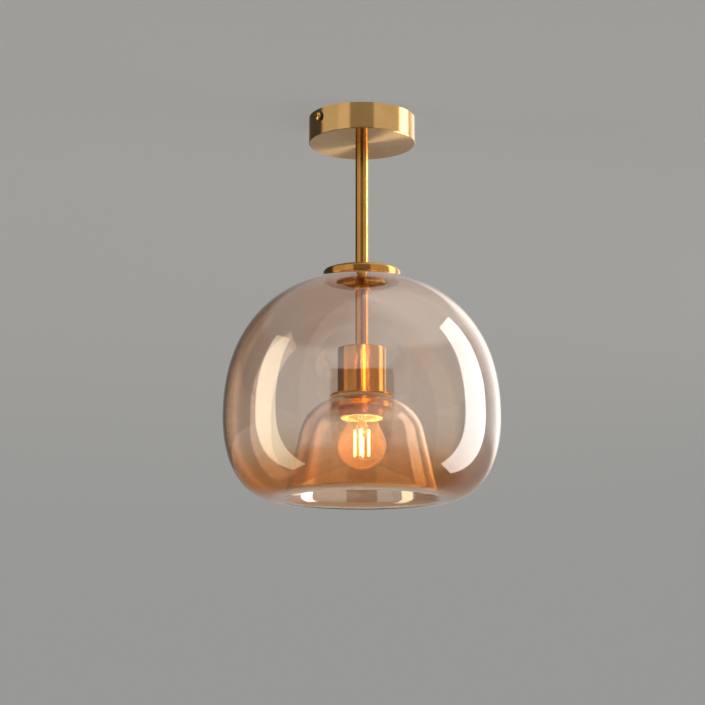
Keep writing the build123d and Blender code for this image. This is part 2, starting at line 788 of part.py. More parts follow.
def make_filament_supports():
    """A bent wire from the stem to each filament's upper end, and a wire star under them."""
    radius = support_wire_radius
    reach = filament_ring_radius
    star_z = filament_low - support_wire_reach
    arm_z = filament_high + support_wire_reach
    low_path, _ = bent_path([(support_hub_radius - radius, 0, star_z), (reach, 0, star_z),
                             (reach, 0, filament_low)])
    high_path, _ = bent_path([(stem_radius + seat_gap / 2, 0, arm_z), (reach, 0, arm_z),
                              (reach, 0, filament_high)])
    hub = rod_between(support_hub_radius, star_z - support_hub_height / 2, star_z + support_hub_height / 2)
    star = hub + rod_between(radius, star_z, stem_low)
    for turn in filament_turns:
        star += turn * wire_on(low_path, radius)
    return [star] + [turn * wire_on(high_path, radius) for turn in filament_turns]


# ---- wires ----


wire_end_x = block_centre_x - terminal_tube_length / 2 + wire_in_terminal


def lamp_wire(side):
    """One conductor from its terminal, through the rod, to its post on the lampholder."""
    terminal_y = side * terminal_rows[-1]
    post_top = carrier_top_z + post_height
    return insulated_wire([
        (wire_end_x, terminal_y, terminal_z),
        (block_inner_x - wire_clear_of_block, terminal_y, terminal_z),
        (0, side * wire_gap, upper_nipple_top + wire_above_nipple),
        (0, side * wire_gap, lower_nipple_bottom - wire_below_nipple),
        (0, side * post_offset, post_top + wire_above_post),
        (0, side * post_offset, post_top)])


def earth_wire():
    """The short conductor from the ring terminal on the bracket to the middle terminal."""
    bore_start = earth_ring_radius + earth_barrel_length / 2
    past_barrel = earth_ring_radius + earth_barrel_length + earth_wire_past_barrel
    return insulated_wire([
        barrel_point(bore_start + earth_wire_end_gap),
        barrel_point(past_barrel),
        (*earth_wire_bow, terminal_z - earth_wire_bow_drop),
        (earth_wire_turn_x, 0, terminal_z),
        (wire_end_x, 0, terminal_z)])


# ---- all nodes ----

collar, collar_grub = make_stop_collar()
right_screw = make_side_screw()
right_washer = make_side_washer()
half_turn = Rot(0, 0, 180)

nodes = {
    "mounting_bracket": make_bracket(),
    "ear_nuts": make_ear_nuts(),
    "terminal_block": make_terminal_block(),
    "terminal_tubes": make_terminal_tubes(),
    "terminal_screws": make_terminal_screws(),
    "block_screw": make_block_screw(),
    "earth_screw": make_earth_screw(),
    "earth_ring_terminal": make_earth_terminal(),
    "canopy": make_canopy(),
    "right_side_screw": right_screw,
    "right_screw_washer": right_washer,
    "left_side_screw": half_turn * right_screw,
    "left_screw_washer": half_turn * right_washer,
    "upper_nipple": make_nipple(rod_top_z - nipple_hold, upper_nipple_top),
    "upper_star_washer": make_star_washer(plate_top_z),
    "upper_locknut": hexagon(locknut_width, nipple_radius + seat_gap, plate_top_z + star_washer_thickness,
                             plate_top_z + star_washer_thickness + locknut_height),
    "rod": tube(rod_radius, rod_bore, cup_top_z, rod_top_z),
    "stop_collar": collar,
    "collar_grub_screw": collar_grub,
    "shade_cap": make_shade_cap(),
    "glass_shade": make_glass_shade(),
    "shade_gasket": shaped_washer(gasket_radius, gasket_bore, flange_bottom_z, 0.0, seat_gap),
    "ring_gasket": shaped_washer(ring_flange_radius, gasket_bore, ring_gasket_flat_z,
                                 glass_thickness, -seat_gap),
    "shade_ring": make_shade_ring(),
    "socket_cup": make_socket_cup(),
    "lower_nipple": make_nipple(lower_nipple_bottom, cup_top_z + nipple_hold),
    "lower_star_washer": make_star_washer(cup_plate_z - star_washer_thickness),
    "lower_locknut": hexagon(locknut_width, nipple_radius + seat_gap,
                             cup_plate_z - star_washer_thickness - locknut_height,
                             cup_plate_z - star_washer_thickness),
    "holder_top": make_holder_top(),
    "holder_body": make_holder_body(),
    "contact_carrier": rod_between(carrier_radius, carrier_bottom_z, carrier_top_z),
    "holder_posts": make_holder_posts(),
    "screw_shell": make_screw_shell(),
    "centre_contact": make_centre_contact(),
    "bulb_contact": make_bulb_contact(),
    "bulb_insulator": make_bulb_insulator(),
    "bulb_screw_cap": make_bulb_screw_cap(),
    "bulb_glass": make_bulb_glass(),
    "bulb_stem": make_bulb_stem(),
    "led_filaments": make_led_filaments(),
    "filament_supports": make_filament_supports(),
    "live_wire": lamp_wire(1),
    "neutral_wire": lamp_wire(-1),
    "earth_wire": earth_wire(),
}

os.makedirs("parts", exist_ok=True)
for name, shape in nodes.items():
    body = Compound(children=list(shape)) if isinstance(shape, list) else shape
    export_step(body, f"parts/{name}.step")
print(f"{len(nodes)} nodes, cup bottom {cup_bottom_z:.1f}, dome top {dome_top_z:.1f}, rim {rim_z:.1f}, "
      f"cap top {cap_top_z:.1f}, bulb {bulb_tip_z:.1f} to {bulb_bottom_z:.1f}, "
      f"shoulder centre {shoulder_centre_x:.2f}")
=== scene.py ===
import json
import math

import bmesh
import bpy
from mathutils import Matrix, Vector, noise

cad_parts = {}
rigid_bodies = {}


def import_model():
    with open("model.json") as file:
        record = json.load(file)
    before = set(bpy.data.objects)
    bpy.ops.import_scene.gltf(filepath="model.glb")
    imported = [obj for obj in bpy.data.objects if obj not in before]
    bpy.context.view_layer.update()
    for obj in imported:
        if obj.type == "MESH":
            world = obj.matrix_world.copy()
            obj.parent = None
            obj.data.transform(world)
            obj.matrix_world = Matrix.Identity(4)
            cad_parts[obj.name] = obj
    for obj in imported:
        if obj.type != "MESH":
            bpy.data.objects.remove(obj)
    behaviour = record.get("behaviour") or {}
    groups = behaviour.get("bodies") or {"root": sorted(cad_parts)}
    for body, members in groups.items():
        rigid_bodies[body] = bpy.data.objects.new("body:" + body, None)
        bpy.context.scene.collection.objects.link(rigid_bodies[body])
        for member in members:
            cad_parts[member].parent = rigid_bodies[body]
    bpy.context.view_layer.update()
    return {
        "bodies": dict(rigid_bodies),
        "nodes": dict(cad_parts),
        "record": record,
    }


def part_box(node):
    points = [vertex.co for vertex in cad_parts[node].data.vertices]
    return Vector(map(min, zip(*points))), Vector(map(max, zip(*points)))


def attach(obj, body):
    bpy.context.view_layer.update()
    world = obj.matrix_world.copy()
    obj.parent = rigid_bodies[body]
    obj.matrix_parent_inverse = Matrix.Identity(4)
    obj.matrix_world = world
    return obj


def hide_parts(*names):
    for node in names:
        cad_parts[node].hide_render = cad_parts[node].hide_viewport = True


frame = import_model()
print("frame loaded")

mm = 0.001


def linear(hexColour):
    parts = [int(hexColour[i:i + 2], 16) / 255 for i in (1, 3, 5)]
    return tuple(p / 12.92 if p <= 0.04045 else ((p + 0.055) / 1.055) ** 2.4 for p in parts) + (1.0,)


def addNode(tree, kind, settings=None, values=None, links=None):
    node = tree.nodes.new(kind)
    for key, value in (settings or {}).items():
        setattr(node, key, value)
    for key, value in (values or {}).items():
        node.inputs[key].default_value = value
    for key, socket in (links or {}).items():
        tree.links.new(socket, node.inputs[key])
    return node


def startMaterial(name):
    material = bpy.data.materials.new(name)
    material.use_nodes = True
    tree = material.node_tree
    tree.nodes.clear()
    return material, tree


def closeMaterial(material, shader):
    addNode(material.node_tree, "ShaderNodeOutputMaterial", links={"Surface": shader.outputs[0]})
    return material


def radiusAndHeight(tree):
    # where a point lies on a turned piece, so that a pattern can run in rings round the axis
    place = addNode(tree, "ShaderNodeTexCoord")
    parts = addNode(tree, "ShaderNodeSeparateXYZ", links={"Vector": place.outputs["Object"]})
    flat = addNode(tree, "ShaderNodeCombineXYZ", links={"X": parts.outputs["X"], "Y": parts.outputs["Y"]})
    reach = addNode(tree, "ShaderNodeVectorMath", {"operation": "LENGTH"}, links={0: flat.outputs[0]})
    return reach.outputs["Value"], parts.outputs["Z"]


def mottle(tree, sizeMm, dark, light, detail=3.0, roughness=0.55):
    # clouds of one size that wander between two tones, given back as their strength and their colour
    place = addNode(tree, "ShaderNodeTexCoord")
    cloud = addNode(tree, "ShaderNodeTexNoise", {},
                    {"Scale": 1 / (sizeMm * mm), "Detail": detail, "Roughness": roughness},
                    {"Vector": place.outputs["Object"]}).outputs["Fac"]
    tones = addNode(tree, "ShaderNodeMix", {"data_type": "RGBA"}, {6: linear(dark), 7: linear(light)},
                    {0: cloud})
    return cloud, tones.outputs[2]


# brushed brass: a wheel leaves fine rings round the axis, so highlights pull out into bands and wedges;
# the real lines are about 0.1 mm apart and are drawn coarser, so that they show
# the deeper pair of tones is painted shade: a darker copy of the same brass for the rod, cap and cup
brushedLook = {"dark": "#CB9A58", "light": "#DEB377", "shadedDark": "#B37E3C", "shadedLight": "#CB9650",
               "grainMm": 0.7, "cloudMm": 18, "roughLow": 0.16, "roughHigh": 0.24,
               "anisotropy": 0.94, "quarterTurn": 0.25, "bumpStrength": 0.25, "bumpMm": 0.004}


def brushedBrass(name, dark, light):
    material, tree = startMaterial(name)
    reach, height = radiusAndHeight(tree)
    rings = addNode(tree, "ShaderNodeCombineXYZ", links={"X": reach, "Y": height})
    grain = addNode(tree, "ShaderNodeTexNoise", {},
                    {"Scale": 1 / (brushedLook["grainMm"] * mm), "Detail": 4.0, "Roughness": 0.6},
                    {"Vector": rings.outputs[0]}).outputs["Fac"]
    tones = mottle(tree, brushedLook["cloudMm"], dark, light, 2.0)[1]
    gloss = addNode(tree, "ShaderNodeMapRange", {},
                    {"To Min": brushedLook["roughLow"], "To Max": brushedLook["roughHigh"]},
                    {"Value": grain})
    bump = addNode(tree, "ShaderNodeBump", {},
                   {"Strength": brushedLook["bumpStrength"], "Distance": brushedLook["bumpMm"] * mm},
                   {"Height": grain})
    ringwise = addNode(tree, "ShaderNodeTangent", {"direction_type": "RADIAL", "axis": "Z"})
    shader = addNode(tree, "ShaderNodeBsdfPrincipled", {},
                     {"Metallic": 1.0, "Anisotropic": brushedLook["anisotropy"],
                      "Anisotropic Rotation": brushedLook["quarterTurn"]},
                     {"Base Color": tones, "Roughness": gloss.outputs[0], "Normal": bump.outputs[0],
                      "Tangent": ringwise.outputs[0]})
    return closeMaterial(material, shader)


# small metal parts keep their own colour in every highlight and have hardly any relief; moulded, pressed
# and fired ones have a white highlight over a faint pebbled skin; their grain too is drawn coarser than
# it is, so that it shows
metalLook = {"metallic": 1.0, "bumpStrength": 0.2, "bumpMm": 0.005}
mouldedLook = {"metallic": 0.0, "bumpStrength": 0.3, "bumpMm": 0.02}


def grained(name, look, dark, light, roughLow, roughHigh, grainMm):
    # the tone and the gloss wander together from dark and smooth to light and dull
    material, tree = startMaterial(name)
    grain, tones = mottle(tree, grainMm, dark, light)
    gloss = addNode(tree, "ShaderNodeMapRange", {}, {"To Min": roughLow, "To Max": roughHigh},
                    {"Value": grain})
    bump = addNode(tree, "ShaderNodeBump", {},
                   {"Strength": look["bumpStrength"], "Distance": look["bumpMm"] * mm}, {"Height": grain})
    shader = addNode(tree, "ShaderNodeBsdfPrincipled", {}, {"Metallic": look["metallic"]},
                     {"Base Color": tones, "Roughness": gloss.outputs[0], "Normal": bump.outputs[0]})
    return closeMaterial(material, shader)


def clearShadow(material, glass, tint):
    # light passes the glass straight, with a little of its colour
    tree = material.node_tree
    clear = addNode(tree, "ShaderNodeBsdfTransparent", {}, {"Color": linear(tint)})
    ray = addNode(tree, "ShaderNodeLightPath")
    mixed = addNode(tree, "ShaderNodeMixShader", {}, {},
                    {0: ray.outputs["Is Shadow Ray"], 1: glass.outputs[0], 2: clear.outputs[0]})
    return closeMaterial(material, mixed)


# amber glass: mouth blown, with a thin metallic film that lets brown light through and mirrors softly
glassLook = {"thin": "#FFF4EA", "thick": "#FFEDDE", "streakMm": 45, "ior": 1.9, "shadow": "#F6EADF",
             "edge": "#C98B44", "edgePower": 1.8, "edgeInside": 0.35,
             "low": "#E9AC64", "lowFromMm": -304, "lowToMm": -358, "insideMm": 70, "outsideMm": 92,
             "mirror": "#FFF0D8", "domeMirror": 0.10, "domeFromMm": -280, "domeToMm": -300}


def amberGlass():
    material, tree = startMaterial("blownAmberGlass")
    tone = mottle(tree, glassLook["streakMm"], glassLook["thin"], glassLook["thick"], 2.0, 0.4)[1]
    reach, height = radiusAndHeight(tree)
    outside = addNode(tree, "ShaderNodeMapRange", {},
                      {"From Min": glassLook["insideMm"] * mm, "From Max": glassLook["outsideMm"] * mm},
                      {"Value": reach}).outputs[0]
    # the glass turns a deeper amber low on the globe, outside the dome
    sink = addNode(tree, "ShaderNodeMapRange", {"interpolation_type": "SMOOTHSTEP"},
                   {"From Min": glassLook["lowFromMm"] * mm, "From Max": glassLook["lowToMm"] * mm},
                   {"Value": height})
    lowShare = addNode(tree, "ShaderNodeMath", {"operation": "MULTIPLY"}, {},
                       {0: sink.outputs[0], 1: outside})
    tone = addNode(tree, "ShaderNodeMix", {"data_type": "RGBA"}, {7: linear(glassLook["low"])},
                   {0: lowShare.outputs[0], 6: tone}).outputs[2]
    # and looks deeper where the wall is seen aslant, less so on the dome
    slant = addNode(tree, "ShaderNodeLayerWeight", {}, {"Blend": 0.5})
    bent = addNode(tree, "ShaderNodeMath", {"operation": "POWER"}, {1: glassLook["edgePower"]},
                   {0: slant.outputs["Facing"]})
    film = addNode(tree, "ShaderNodeMapRange", {}, {"To Min": glassLook["edgeInside"]}, {"Value": outside})
    edgeShare = addNode(tree, "ShaderNodeMath", {"operation": "MULTIPLY"}, {},
                        {0: bent.outputs[0], 1: film.outputs[0]})
    tone = addNode(tree, "ShaderNodeMix", {"data_type": "RGBA"}, {7: linear(glassLook["edge"])},
                   {0: edgeShare.outputs[0], 6: tone}).outputs[2]
    glass = addNode(tree, "ShaderNodeBsdfPrincipled", {},
                    {"Transmission Weight": 1.0, "IOR": glassLook["ior"], "Roughness": 0.0},
                    {"Base Color": tone})
    # the dome's film mirrors a little more
    below = addNode(tree, "ShaderNodeMapRange", {},
                    {"From Min": glassLook["domeFromMm"] * mm, "From Max": glassLook["domeToMm"] * mm},
                    {"Value": height})
    dome = addNode(tree, "ShaderNodeMapRange", {}, {"To Min": glassLook["domeMirror"], "To Max": 0.0},
                   {"Value": outside})
    mirrorShare = addNode(tree, "ShaderNodeMath", {"operation": "MULTIPLY"}, {},
                          {0: below.outputs[0], 1: dome.outputs[0]})
    mirror = addNode(tree, "ShaderNodeBsdfAnisotropic", {},
                     {"Color": linear(glassLook["mirror"]), "Roughness": 0.0})
    filmed = addNode(tree, "ShaderNodeMixShader", {}, {},
                     {0: mirrorShare.outputs[0], 1: glass.outputs[0], 2: mirror.outputs[0]})
    return clearShadow(material, filmed, glassLook["shadow"])


# lamp glass: blown thin, with a faint amber film on the bulb that catches the filaments' glow
lampGlassLook = {"dark": "#FFF0D8", "light": "#FFF6E4", "streakMm": 20, "clarity": 0.988, "ior": 1.5,
                 "shadow": "#FAF4E8"}


def bulbGlass():
    material, tree = startMaterial("clearLampGlass")
    tones = mottle(tree, lampGlassLook["streakMm"], lampGlassLook["dark"], lampGlassLook["light"],
                   2.0, 0.4)[1]
    glass = addNode(tree, "ShaderNodeBsdfPrincipled", {},
                    {"Transmission Weight": lampGlassLook["clarity"], "IOR": lampGlassLook["ior"],
                     "Roughness": 0.0}, {"Base Color": tones})
    return clearShadow(material, glass, lampGlassLook["shadow"])


# phosphor coating on the filament sticks: matt yellow that glows warm, with its grain drawn coarser
filamentLook = {"dark": "#E5A93C", "light": "#F2B84A", "grainMm": 0.8, "glow": "#FFE9B8", "strength": 110.0,
                "lampWatts": 0.75, "lampColour": "#FFD084", "lampRadiusMm": 9.0}


def ledPhosphor():
    material, tree = startMaterial("phosphorCoating")
    tones = mottle(tree, filamentLook["grainMm"], filamentLook["dark"], filamentLook["light"], 2.0)[1]
    shader = addNode(tree, "ShaderNodeBsdfPrincipled", {},
                     {"Roughness": 0.6, "Emission Color": linear(filamentLook["glow"]),
                      "Emission Strength": filamentLook["strength"]}, {"Base Color": tones})
    return closeMaterial(material, shader)


# moulded silicone: milky and soft, light sinks in a little way before it comes back
siliconeLook = {"dark": "#CDB48E", "light": "#DCC6A2", "grainMm": 2, "roughLow": 0.35, "roughHigh": 0.5,
                "depth": 0.3, "reachMm": (2.0, 1.0, 0.6), "ior": 1.41}


def silicone():
    material, tree = startMaterial("mouldedSilicone")
    grain, tones = mottle(tree, siliconeLook["grainMm"], siliconeLook["dark"], siliconeLook["light"])
    gloss = addNode(tree, "ShaderNodeMapRange", {},
                    {"To Min": siliconeLook["roughLow"], "To Max": siliconeLook["roughHigh"]},
                    {"Value": grain})
    shader = addNode(tree, "ShaderNodeBsdfPrincipled", {},
                     {"Subsurface Weight": siliconeLook["depth"],
                      "Subsurface Radius": [length * mm for length in siliconeLook["reachMm"]],
                      "IOR": siliconeLook["ior"]}, {"Base Color": tones, "Roughness": gloss.outputs[0]})
    return closeMaterial(material, shader)


finishes = {
    "brushed_brass": brushedBrass("brushedBrass", brushedLook["dark"], brushedLook["light"]),
    # turned brass is smooth and golden, bare brass duller and paler
    "polished_brass": grained("turnedBrass", metalLook, "#D29A4C", "#E4B76C", 0.12, 0.2, 1.5),
    "bare_brass": grained("bareBrass", metalLook, "#C9A868", "#DCC08A", 0.25, 0.38, 2.5),
    # zinc plate is a satin bluish grey, tinned copper a soft silver, cast solder a dull grey
    "zinc_steel": grained("zincPlatedSteel", metalLook, "#A9ABAE", "#C6C8CA", 0.28, 0.42, 1.2),
    "tinned_copper": grained("tinnedCopper", metalLook, "#BDBBB4", "#D5D3CC", 0.25, 0.4, 1.5),
    "solder": grained("castSolder", metalLook, "#9C9C9C", "#BDBDBD", 0.3, 0.5, 1.0),
    # nickel plate is a pale warm silver, drawn wire a bright neutral one
    "bulb_cap_metal": grained("nickelPlatedCap", metalLook, "#C4C0B4", "#DAD6C9", 0.22, 0.34, 2.0),
    "support_wire": grained("drawnWire", metalLook, "#A4A4A4", "#C0C0C0", 0.25, 0.35, 0.8),
    "amber_glass": amberGlass(),
    "clear_glass": bulbGlass(),
    # pressed glass shines like wet ink, nylon and polyamide are dull, phenolic and porcelain smoother
    "black_glass": grained("pressedBlackGlass", mouldedLook, "#08080A", "#121215", 0.08, 0.15, 3.0),
    "silicone": silicone(),
    "black_nylon": grained("mouldedBlackNylon", mouldedLook, "#101010", "#1C1C1C", 0.45, 0.6, 0.8),
    "white_polyamide": grained("mouldedWhitePolyamide", mouldedLook, "#DEDED6", "#EAEAE4", 0.4, 0.55, 1.0),
    "moulded_phenolic": grained("mouldedPhenolic", mouldedLook, "#D8CCB0", "#E6DCC4", 0.3, 0.42, 1.5),
    "porcelain": grained("firedPorcelain", mouldedLook, "#E0DCD0", "#EFECE2", 0.35, 0.5, 2.0),
    "led_phosphor": ledPhosphor(),
    # extruded wire insulation has an even satin skin
    "brown_insulation": grained("brownInsulation", mouldedLook, "#4A2A16", "#5B3620", 0.4, 0.5, 1.0),
    "blue_insulation": grained("blueInsulation", mouldedLook, "#1F55A8", "#2C66BC", 0.4, 0.5, 1.0),
    "green_yellow_insulation": grained("greenYellowInsulation", mouldedLook, "#7FA62B", "#C9C53A",
                                       0.4, 0.5, 1.4),
}
print("materials ready")


def roundOutline(corners, facets=6, guard=0.4):
    # closed outline from (radius, height, corner round) in mm, with a guard point beside each round
    points = []
    count = len(corners)
    for i, (radius, height, amount) in enumerate(corners):
        here = Vector((radius, height))
        back = Vector(corners[i - 1][:2]) - here
        ahead = Vector(corners[(i + 1) % count][:2]) - here
        if amount <= 0:
            points.append(here)
            continue
        a, b = back.normalized(), ahead.normalized()
        opening = math.acos(max(-1, min(1, a.dot(b))))
        run = amount / math.tan(opening / 2)
        centre = here + (a + b).normalized() * (amount / math.sin(opening / 2))
        first, last = here + a * run, here + b * run
        v0, v1 = first - centre, last - centre
        turn = math.acos(max(-1, min(1, v0.normalized().dot(v1.normalized()))))
        if back.length - run > 3 * guard:
            points.append(first + a * guard)
        for step in range(facets + 1):
            s = step / facets
            swing = v0 * math.sin((1 - s) * turn) + v1 * math.sin(s * turn)
            points.append(centre + swing / math.sin(turn))
        if ahead.length - run > 3 * guard:
            points.append(last + b * guard)
    return [(p.x, p.y) for p in points]


def circleArc(centre, radius, start, end, steps):
    return [(centre[0] + radius * math.cos(start + (end - start) * i / steps),
             centre[1] + radius * math.sin(start + (end - start) * i / steps)) for i in range(steps + 1)]


def keepPiece(name, vertices, faces, body, nodes, slot, sharp=32):
    mesh = bpy.data.meshes.new(name)
    mesh.from_pydata(vertices, [], faces)
    mesh.validate()
    work = bmesh.new()
    work.from_mesh(mesh)
    bmesh.ops.recalc_face_normals(work, faces=work.faces)
    work.to_mesh(mesh)
    work.free()
    mesh.shade_smooth()
    mesh.set_sharp_from_angle(angle=math.radians(sharp))
    piece = bpy.data.objects.new(name, mesh)
    bpy.context.scene.collection.objects.link(piece)
    mesh.materials.append(finishes[slot])
    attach(piece, body)
    if nodes:
        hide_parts(*nodes)
    return piece


def turnedPiece(name, outline, body, nodes, slot, segments=192, wave=None, sharp=32):
    # a closed outline of (radius, height) in mm turned about the lamp's axis
    vertices, rings = [], []
    for radius, height in outline:
        if radius < 1e-4:  # a point on the axis
            rings.append([len(vertices)])
            vertices.append((0, 0, height * mm))
            continue
        ring = []
        for k in range(segments):
            angle = 2 * math.pi * k / segments
            r, z = wave(radius, height, angle) if wave else (radius, height)
            ring.append(len(vertices))
            vertices.append((r * math.cos(angle) * mm, r * math.sin(angle) * mm, z * mm))
        rings.append(ring)
    faces = []
    for i, a in enumerate(rings):
        b = rings[(i + 1) % len(rings)]
        if len(a) == 1 and len(b) == 1:
            continue
        for k in range(segments):
            n = (k + 1) % segments
            if len(a) == 1:
                faces.append((a[0], b[n], b[k]))
            elif len(b) == 1:
                faces.append((a[k], a[n], b[0]))
            else:
                faces.append((a[k], a[n], b[n], b[k]))
    return keepPiece(name, vertices, faces, body, nodes, slot, sharp)


def levels(node):
    low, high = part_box(node)
    return low[2] / mm, high[2] / mm


def stepped(radius, low, high, step):
    # a straight side cut into steps, so that a thread can wave it
    count = max(int(abs(high - low) / step), 1)
    return [(radius, low + (high - low) * i / count, 0) for i in range(count + 1)]


def helix(crest, depth, pitch, low, high, fade=0.8):
    # a rolled or moulded thread: the radius dips once for every turn and runs out at both ends
    def wave(radius, height, angle):
        if abs(radius - crest) > 1e-3 or not low <= height <= high:
            return radius, height
        ease = min((height - low) / fade, (high - height) / fade, 1.0)
        turn = (height - low) / pitch - angle / (2 * math.pi)
        return crest - depth * ease * (1 - math.cos(2 * math.pi * turn)) / 2, height
    return wave


canopy = {"radius": 50.0, "height": 25.0, "wall": 1.2, "edge": 0.8, "innerEdge": 0.3, "bore": 5.4,
          "ceilingGap": 0.02}
canopyIn = canopy["radius"] - canopy["wall"]
canopyFloor = canopy["wall"] - canopy["height"]
turnedPiece("canopyDish", roundOutline([
    (canopy["bore"], -canopy["height"], 0), (canopy["radius"], -canopy["height"], canopy["edge"]),
    (canopy["radius"], -canopy["ceilingGap"], 0), (canopyIn, -canopy["ceilingGap"], 0),
    (canopyIn, canopyFloor, canopy["innerEdge"]), (canopy["bore"], canopyFloor, 0)]),
    "root", ["canopy"], "brushed_brass", 256)

rod = {"radius": 6.0, "wall": 0.9, "edge": 0.25, "top": -25.0, "bottom": -222.0}
turnedPiece("hangingRod", roundOutline([
    (rod["radius"] - rod["wall"], rod["bottom"], 0), (rod["radius"], rod["bottom"], rod["edge"]),
    (rod["radius"], rod["top"], rod["edge"]), (rod["radius"] - rod["wall"], rod["top"], 0)]),
    "root", ["rod"], "brushed_brass", 96)
print("canopy and rod made")

# the glass is a globe whose lower part rolls inwards over a lip and rises as a dome round the bulb
glass = {"thickness": 2.5, "radius": 127.9, "crownHeight": 133.7, "crownPower": 2.25, "lowerHeight": 76.9,
         "lowerPower": 2.21, "lipRing": 75.5, "lip": 9.5, "domeTop": -268.5, "domeDepth": 94.5,
         "shoulder": 40.5, "slope": 11.8, "domeHole": 20.9, "crownHole": 24.0, "skin": 0.04,
         "polish": 0.5}
rimZ = glass["domeTop"] - glass["domeDepth"]
widestZ = rimZ + glass["lowerHeight"]
slope = math.radians(glass["slope"])
shoulderZ = glass["domeTop"] - glass["shoulder"]
lipZ = rimZ + glass["lip"]
lipMeet = Vector((glass["lipRing"] - (glass["lip"] - glass["thickness"]) * math.cos(slope),
                  lipZ - (glass["lip"] - glass["thickness"]) * math.sin(slope)))
shoulderMeetZ = shoulderZ + glass["shoulder"] * math.sin(slope)
shoulderX = lipMeet.x - (shoulderMeetZ - lipMeet.y) * math.tan(slope) - glass["shoulder"] * math.cos(slope)


def superArc(origin, span, rise, power, start, end, steps, inset):
    # a stretch of superellipse round origin, set in along its normal
    points = []
    for i in range(steps + 1):
        turn = start + (end - start) * i / steps
        across = span * max(math.sin(turn), 0) ** (2 / power)
        up = abs(rise) * max(math.cos(turn), 0) ** (2 / power)
        normal = Vector((across ** (power - 1) / span ** power, up ** (power - 1) / abs(rise) ** power))
        normal.normalize()
        point = Vector((across, up)) - normal * inset
        points.append((origin[0] + point.x, origin[1] + math.copysign(1, rise) * point.y))
    return points


def shadeFace(inset):
    # one face of the wall from the crown's hole round the rim to the dome's hole
    start = math.asin((glass["crownHole"] / glass["radius"]) ** (glass["crownPower"] / 2))
    crown = superArc((0, widestZ), glass["radius"], glass["crownHeight"], glass["crownPower"],
                     start, math.pi / 2, 90, inset)
    lower = superArc((glass["lipRing"], widestZ), glass["radius"] - glass["lipRing"], -glass["lowerHeight"],
                     glass["lowerPower"], math.pi / 2, 0, 50, inset)
    lip = circleArc((glass["lipRing"], lipZ), glass["lip"] - inset, -math.pi / 2, -math.pi + slope, 14)
    arm = glass["shoulder"] - glass["thickness"] + inset
    holeTurn = math.acos((glass["domeHole"] - shoulderX) / arm)
    shoulder = circleArc((shoulderX, shoulderZ), arm, slope, holeTurn, 24)
    wallStart, wallEnd = Vector(lip[-1]), Vector(shoulder[0])
    wall = [tuple(wallStart.lerp(wallEnd, i / 16)) for i in range(1, 16)]
    return crown + lower[1:] + lip[1:] + wall + shoulder


def polishedEdge(first, last):
    # fire-polished edge of a hole: a flat half round from one face of the wall to the other
    first, last = Vector(first), Vector(last)
    middle, arm = (first + last) / 2, (first - last) / 2
    inward = Vector((-arm.y, arm.x))
    if inward.x > 0:
        inward = -inward
    return [tuple(middle + arm * math.cos(t) + inward * math.sin(t) * glass["polish"])
            for t in (math.pi * k / 6 for k in range(1, 6))]


blown = {"depthMm": 0.22, "slowMm": 55.0, "quickMm": 21.0, "fromRadius": 34, "fromHeight": -350, "fade": 12,
         "centre": Vector((0, 0, -230)), "shift": Vector((7.3, 1.9, 4.4))}


def blownWave(radius, height, angle):
    # the wall wanders in by a fraction of a millimetre, as blown glass does, but not at holes and rim
    if radius < blown["fromRadius"] or height < blown["fromHeight"]:
        return radius, height
    point = Vector((radius * math.cos(angle), radius * math.sin(angle), height))
    slow = noise.noise(point / blown["slowMm"])
    quick = noise.noise(point / blown["quickMm"] + blown["shift"])
    fade = min((radius - blown["fromRadius"]) / blown["fade"], 1.0)
    fade *= min((height - blown["fromHeight"]) / blown["fade"], 1.0)
    depth = blown["depthMm"] * fade * (0.5 + 0.42 * slow + 0.25 * quick)
    away = (point - blown["centre"]).normalized()
    return radius - depth * math.hypot(away.x, away.y), height - depth * away.z


airSide = shadeFace(glass["skin"])
cavitySide = shadeFace(glass["thickness"])
domeEnd = polishedEdge(airSide[-1], cavitySide[-1])
crownEnd = polishedEdge(cavitySide[0], airSide[0])
turnedPiece("glassShade", airSide + domeEnd + list(reversed(cavitySide)) + crownEnd, "shade",
            ["glass_shade"], "amber_glass", 256, blownWave, 60)
print("glass shade blown")

cap = {"radius": 36.0, "wall": 1.2, "edge": 2.4, "foot": 0.3, "bore": 6.1, "neck": 7.8, "neckDrop": 3.0,
       "neckFillet": 0.4, "innerEdge": 1.2, "innerFoot": 0.2}
capLow, capHigh = levels("shade_cap")
capUnder = capHigh - cap["wall"]
capIn = cap["radius"] - cap["wall"]
turnedPiece("shadeCap", roundOutline([
    (cap["bore"], capUnder - cap["neckDrop"], 0), (cap["neck"], capUnder - cap["neckDrop"], cap["foot"]),
    (cap["neck"], capUnder, cap["neckFillet"]), (capIn, capUnder, cap["innerEdge"]),
    (capIn, capLow, cap["innerFoot"]), (cap["radius"], capLow, cap["foot"]),
    (cap["radius"], capHigh, cap["edge"]), (cap["bore"], capHigh, 0)]),
    "cap", ["shade_cap"], "brushed_brass", 192)

collar = {"bore": 6.05, "radius": 8.5, "edge": 0.6}
collarLow, collarHigh = levels("stop_collar")
turnedPiece("stopCollar", roundOutline([
    (collar["bore"], collarLow, 0), (collar["radius"], collarLow, collar["edge"]),
    (collar["radius"], collarHigh, collar["edge"]), (collar["bore"], collarHigh, 0)]),
    "root", ["stop_collar"], "polished_brass", 96)

